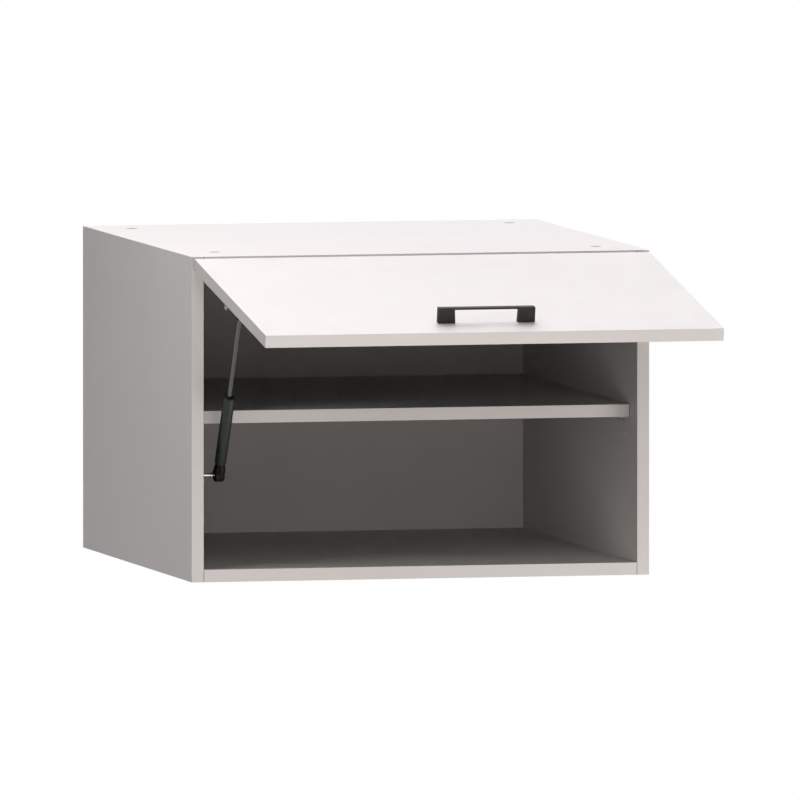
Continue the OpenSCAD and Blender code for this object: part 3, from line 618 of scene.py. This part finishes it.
# %% The tree that makes a field of screws
SIZES = ("Shank diameter", "Core diameter", "Length", "Tip length", "Pitch",
         "Head diameter", "Head height")
CORE_SIDES = 20
THREAD_STEPS, THREAD_SIDES = 20, 4
field = bpy.data.node_groups.new("screw_field", "GeometryNodeTree")
field.interface.new_socket("Places", in_out="INPUT", socket_type="NodeSocketGeometry")
for size in SIZES:
    field.interface.new_socket(size, in_out="INPUT", socket_type="NodeSocketFloat")
field.interface.new_socket("Head", in_out="INPUT", socket_type="NodeSocketObject")
field.interface.new_socket("Finish", in_out="INPUT", socket_type="NodeSocketMaterial")
field.interface.new_socket("Screws", in_out="OUTPUT", socket_type="NodeSocketGeometry")
given = field.nodes.new("NodeGroupInput").outputs


def step(kind, inputs, result=0, **settings):
    """Adds a node with its settings and inputs, and returns one of its outputs."""
    made = field.nodes.new(kind)
    for key, value in settings.items():
        setattr(made, key, value)
    for key, value in inputs.items():
        for part in value if isinstance(value, list) else [value]:
            if isinstance(part, bpy.types.NodeSocket):
                field.links.new(part, made.inputs[key])
            else:
                made.inputs[key].default_value = part
    return made.outputs[result]


def sum_of(first, second, kind="ADD"):
    return step("ShaderNodeMath", {0: first, 1: second}, operation=kind)


def half(value):
    return sum_of(value, 0.5, "MULTIPLY")


def moved(shape, height, turn=(0.0, 0.0, 0.0), scale=(1.0, 1.0, 1.0)):
    lift = step("ShaderNodeCombineXYZ", {"Z": height})
    return step("GeometryNodeTransform", {"Geometry": shape, "Translation": lift,
                                          "Rotation": turn, "Scale": scale})


# %% Core, point, thread and head
core_r = half(given["Core diameter"])
under_tip = sum_of(given["Length"], given["Tip length"], "SUBTRACT")
core_len = sum_of(under_tip, given["Head height"], "SUBTRACT")
core = step("GeometryNodeMeshCylinder", {"Vertices": CORE_SIDES, "Radius": core_r,
                                         "Depth": core_len})
core_mid = sum_of(sum_of(half(core_len), given["Head height"]), -1.0, "MULTIPLY")
point = step("GeometryNodeMeshCone", {"Vertices": CORE_SIDES, "Radius Top": 0.0,
                                      "Radius Bottom": core_r, "Depth": given["Tip length"]})
tip_top = sum_of(given["Tip length"], given["Length"], "SUBTRACT")
ridge = sum_of(half(given["Shank diameter"]), core_r, "SUBTRACT")
winds = sum_of(core_len, given["Pitch"], "DIVIDE")
coil = step("GeometryNodeCurveSpiral", {"Resolution": THREAD_STEPS, "Rotations": winds,
                                        "Start Radius": core_r, "End Radius": core_r,
                                        "Height": core_len})
wire = step("GeometryNodeCurvePrimitiveCircle", {"Resolution": THREAD_SIDES, "Radius": ridge})
thread = step("GeometryNodeCurveToMesh", {"Curve": coil, "Profile Curve": wire, "Fill Caps": True})
head_size = step("ShaderNodeCombineXYZ", {"X": given["Head diameter"], "Y": given["Head diameter"],
                                          "Z": given["Head height"]})
unit_head = step("GeometryNodeObjectInfo", {"Object": given["Head"]}, "Geometry")
head = moved(unit_head, 0.0, scale=head_size)
screw = step("GeometryNodeJoinGeometry", {"Geometry": [
    moved(core, core_mid), moved(point, tip_top, (math.pi, 0.0, 0.0)),
    moved(thread, tip_top), head]})
turn = step("GeometryNodeInputNamedAttribute", {"Name": "turn"}, "Attribute",
            data_type="FLOAT_VECTOR")
rotation = step("FunctionNodeEulerToRotation", {"Euler": turn})
copies = step("GeometryNodeInstanceOnPoints", {"Points": given["Places"], "Instance": screw,
                                               "Rotation": rotation})
one_mesh = step("GeometryNodeRealizeInstances", {"Geometry": copies})
dressed = step("GeometryNodeSetMaterial", {"Geometry": one_mesh, "Material": given["Finish"]})
field.links.new(dressed, field.nodes.new("NodeGroupOutput").inputs["Screws"])
print("screw tree", len(field.nodes), "nodes")

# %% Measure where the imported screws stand


def shells(node):
    """The corners of each separate shell in a node's mesh."""
    shape = bmesh.new()
    shape.from_mesh(nodes[node].data)
    bmesh.ops.remove_doubles(shape, verts=shape.verts, dist=WELD)
    left, found = set(shape.verts), []
    while left:
        reached = [left.pop()]
        for corner in reached:
            for edge in corner.link_edges:
                other = edge.other_vert(corner)
                if other in left:
                    left.remove(other)
                    reached.append(other)
        found.append([corner.co.copy() for corner in reached])
    shape.free()
    return sorted(found, key=lambda corners: tuple(round(v, 4) for v in corners[0]))


def head_top(corners, out):
    """The middle of a screw's head, where it faces in the direction out."""
    middle = sum(corners, Vector()) / len(corners)
    return middle + out * (max(corner.dot(out) for corner in corners) - middle.dot(out))


# %% Put the new screws in
FLAP_IN = Vector((0.0, 0.1736, -0.9848))  # out of the inner face of the open flap
DOWN = Vector((0.0, 0.0, -1.0))
FORWARD = Vector((0.0, -1.0, 0.0))
RIGHT = Vector((1.0, 0.0, 0.0))
WOOD, MACHINE = (0.66, 3.0, 1.4), (0.8, 0.8, 0.7)  # core share, tip length, pitch
SCREWS = (  # node, way the head faces, kind, shank, length, head diameter, head height
    ("hinge_plate_screws", DOWN, WOOD, 3.5, 15.0, 7.0, 2.2),
    ("hinge_arm_screws", DOWN, MACHINE, 4.0, 8.0, 6.5, 2.0),
    ("hinge_cup_screws", FLAP_IN, WOOD, 3.5, 13.0, 7.0, 1.4),
    ("strut_bracket_screws", FLAP_IN, WOOD, 3.5, 13.0, 7.0, 2.2),
    ("strut_wall_screws", RIGHT, WOOD, 3.5, 15.0, 7.0, 2.2),
    ("handle_screws", FLAP_IN, MACHINE, 4.0, 26.0, 8.0, 2.2),
    ("hanger_screws", None, WOOD, 3.5, 14.0, 7.0, 2.2),
    ("hanger_adjusters", FORWARD, MACHINE, 4.0, 6.0, 6.5, 2.5),
)
CAP_SIDES = 12  # every disc that closes a core or a point has at least this many corners
RIM_WELD = 0.000002  # a core's and a point's rims lie nearer to each other than this


def open_up(mesh):
    """Joins each core to its point. The disc that both would have between them goes."""
    shape = bmesh.new()
    shape.from_mesh(mesh)
    rims = {vert for face in shape.faces if len(face.verts) >= CAP_SIDES for vert in face.verts}
    bmesh.ops.remove_doubles(shape, verts=list(rims), dist=RIM_WELD)
    inner = [face for face in shape.faces if len(face.verts) >= CAP_SIDES
             and all(len(edge.link_faces) > 2 for edge in face.edges)]
    bmesh.ops.delete(shape, geom=inner, context="FACES_ONLY")
    shape.to_mesh(mesh)
    shape.free()


def screws(node, facing, kind, shank, length, head_width, head_height):
    """Replaces a node's screws by detailed ones. Facing None means towards the middle."""
    share, tip, pitch = kind
    spots, turns = [], []
    for corners in shells(node):
        out = facing or (RIGHT if corners[0].x < 0.0 else -RIGHT)
        spots.append(head_top(corners, out))
        turns.extend(out.to_track_quat("Z", "Y").to_euler())
    points = bpy.data.meshes.new(node + "_cross")
    points.from_pydata(spots, [], [])
    points.attributes.new("turn", "FLOAT_VECTOR", "POINT").data.foreach_set("vector", turns)
    obj = placed(node + "_cross", points)
    made = obj.modifiers.new("screws", "NODES")
    made.node_group = field
    sizes = (shank, shank * share, length, tip, pitch, head_width, head_height)
    inputs = dict(zip(SIZES, (size * MM for size in sizes)),
                  Head=head_master, Finish=FINISHES[node_slot[node]])
    for label, value in inputs.items():
        made[field.interface.items_tree[label].identifier] = value
    mesh = applied(obj)
    mesh.shade_smooth()
    open_up(mesh)
    mesh.set_sharp_from_angle(angle=math.radians(SOFT))
    print(node, len(spots), "screws", len(mesh.polygons), "faces")
    return take_over(obj, node)


for row in SCREWS:
    screws(*row)
bpy.data.objects.remove(head_master)

# %% [markdown]
# ## The camera
# The photograph is taken 13 degrees from the left and 4 degrees from above, so far away
# that parallel edges stay parallel. A very long lens far from the cabinet gives nearly the
# same picture and still lets the view be turned round the object.

# %% Place the camera
AZIMUTH = math.radians(-13.18)
ELEVATION = math.radians(3.96)
LENS = 1700.0
SENSOR = 36.0
FRAME_WIDTH = 1.02329
aim = Vector((-0.0026, -0.528, 0.0135))
backwards = Vector((math.sin(AZIMUTH) * math.cos(ELEVATION),
                    -math.cos(AZIMUTH) * math.cos(ELEVATION), math.sin(ELEVATION)))
camera_data = bpy.data.cameras.new("studio_camera")
camera_data.lens, camera_data.sensor_width = LENS, SENSOR
camera = placed("studio_camera", camera_data)
camera.location = aim + backwards * (FRAME_WIDTH * LENS / SENSOR)
camera.rotation_mode = "QUATERNION"
camera.rotation_quaternion = (-backwards).to_track_quat("-Z", "Y")
camera_data.clip_start, camera_data.clip_end = 1.0, 120.0
bpy.context.scene.camera = camera
print("camera at", [round(v, 2) for v in camera.location])

# %% [markdown]
# ## Studio light
# In the photograph the top and the flap shine, the fronts are grey and the inside falls off
# into shade. Large soft boxes far away give the first: each is a round patch of sky, given
# by its direction, and its light may bounce once. Small soft boxes near the cabinet light the
# fronts and shade the left side from top to bottom. Their light doesn't bounce, so the white
# boards inside don't brighten one another. The lens sees white paper instead of the sky.

# %% Far soft boxes
WARM, CREAM, IVORY = (1.0, 0.93, 0.895), (1.0, 0.965, 0.945), (1.0, 0.96, 0.935)
BROAD, NARROW = 8.0, 25.0  # focus: how fast a patch of sky fades away from its middle
FAR_BOXES = (  # name, azimuth, elevation, focus, strength, tint
    ("above_behind", 180.0, 50.0, BROAD, 4.43, (1.0, 0.958, 0.98)),
    ("above_side", 60.0, 50.0, BROAD, 0.21, (1.0, 0.955, 0.975)),
    ("left_high", -75.0, 35.0, BROAD, 0.49, CREAM),
    ("left", -50.0, 8.0, NARROW, 0.57, CREAM),
    ("front_high", 0.0, 28.0, NARROW, 2.14, WARM),
)
world = bpy.data.worlds.new("studio_sky")
bpy.context.scene.world = world
world.use_nodes = True
world.cycles.max_bounces = 1
sky = world.node_tree
sky.nodes.clear()


def direction(azimuth, elevation):
    """The direction from the cabinet towards a light."""
    a, e = math.radians(azimuth), math.radians(elevation)
    return Vector((math.sin(a) * math.cos(e), -math.cos(a) * math.cos(e), math.sin(e)))


way = sky.nodes.new("ShaderNodeTexCoord").outputs["Generated"]
light = None
for name, azimuth, elevation, focus, strength, tint in FAR_BOXES:
    towards = sky.nodes.new("ShaderNodeVectorMath")
    towards.operation = "DOT_PRODUCT"
    towards.inputs[1].default_value = direction(azimuth, elevation)
    sky.links.new(way, towards.inputs[0])
    falloff = maths(sky, "MULTIPLY_ADD", towards.outputs["Value"], focus, -focus)
    patch = maths(sky, "EXPONENT", falloff)
    glow = sky.nodes.new("ShaderNodeBackground")
    glow.name = name
    glow.inputs["Color"].default_value = (*tint, 1.0)
    sky.links.new(maths(sky, "MULTIPLY", patch, strength), glow.inputs["Strength"])
    if light:
        both = sky.nodes.new("ShaderNodeAddShader")
        sky.links.new(light, both.inputs[0])
        sky.links.new(glow.outputs[0], both.inputs[1])
        light = both.outputs[0]
    else:
        light = glow.outputs[0]
paper = sky.nodes.new("ShaderNodeBackground")
paper.inputs["Color"].default_value = (1.0, 1.0, 1.0, 1.0)
choose = sky.nodes.new("ShaderNodeMixShader")
sky.links.new(sky.nodes.new("ShaderNodeLightPath").outputs["Is Camera Ray"], choose.inputs[0])
sky.links.new(light, choose.inputs[1])
sky.links.new(paper.outputs[0], choose.inputs[2])
sky.links.new(choose.outputs[0], sky.nodes.new("ShaderNodeOutputWorld").inputs["Surface"])
bpy.context.scene.view_settings.view_transform = "Standard"
print("far soft boxes", [box[0] for box in FAR_BOXES])

# %% Near soft boxes
NEAR_BOXES = (  # name, place, size, power, tint
    ("low_front", (-0.3, -2.0, -0.3), 0.8, 4.39, WARM),
    ("middle_front", (0.0, -2.2, 0.1), 1.0, 1.16, WARM),
    ("low_right", (0.9, -1.6, -0.8), 0.8, 7.93, WARM),
    ("upper_left", (-0.95, -1.0, 0.6), 0.4, 1.41, IVORY),
    ("above_left", (-0.8, -0.35, 0.55), 0.3, 0.28, IVORY),
)
AIM_AT = Vector((-0.05, -0.45, 0.0))
for name, spot, size, power, tint in NEAR_BOXES:
    lamp = bpy.data.lights.new(name, "AREA")
    lamp.size, lamp.energy, lamp.color = size, power, tint
    lamp.cycles.max_bounces = 0
    box = placed(name, lamp)
    box.location = spot
    box.rotation_mode = "QUATERNION"
    box.rotation_quaternion = (AIM_AT - box.location).to_track_quat("-Z", "Y")
    box.visible_camera = False
print("near soft boxes", [box[0] for box in NEAR_BOXES])

# %% Pale floor
FLOOR_DROP = 1.4
FLOOR_HALF = 12.0
FLOOR_MIDDLE = -0.4  # under the middle of the cabinet and its flap
floor_shape = bmesh.new()
bmesh.ops.create_grid(floor_shape, x_segments=2, y_segments=2, size=FLOOR_HALF)
floor_z = cad_box[0][2] - FLOOR_DROP
bmesh.ops.translate(floor_shape, verts=floor_shape.verts, vec=(0.0, FLOOR_MIDDLE, floor_z))
floor = as_object(floor_shape, "studio_floor")
paint = Finish("studio_floor")
paint.drift(paint.noise(1.5), (0.99, 0.99, 0.99), (0.97, 0.97, 0.97))
paint.constant(Roughness=0.8)
# From below the floor is clear, so that views from there still show the cabinet.
see_through = paint.add("ShaderNodeMixShader")
paint.link(paint.add("ShaderNodeNewGeometry").outputs["Backfacing"], see_through.inputs[0])
paint.link(paint.shader.outputs[0], see_through.inputs[1])
paint.link(paint.add("ShaderNodeBsdfTransparent").outputs[0], see_through.inputs[2])
paint.link(see_through.outputs[0], paint.tree.nodes["Material Output"].inputs["Surface"])
floor.data.materials.append(paint.material)
floor.visible_diffuse = False  # the boards get no light back from it
print("floor at z", round(floor_z, 3))
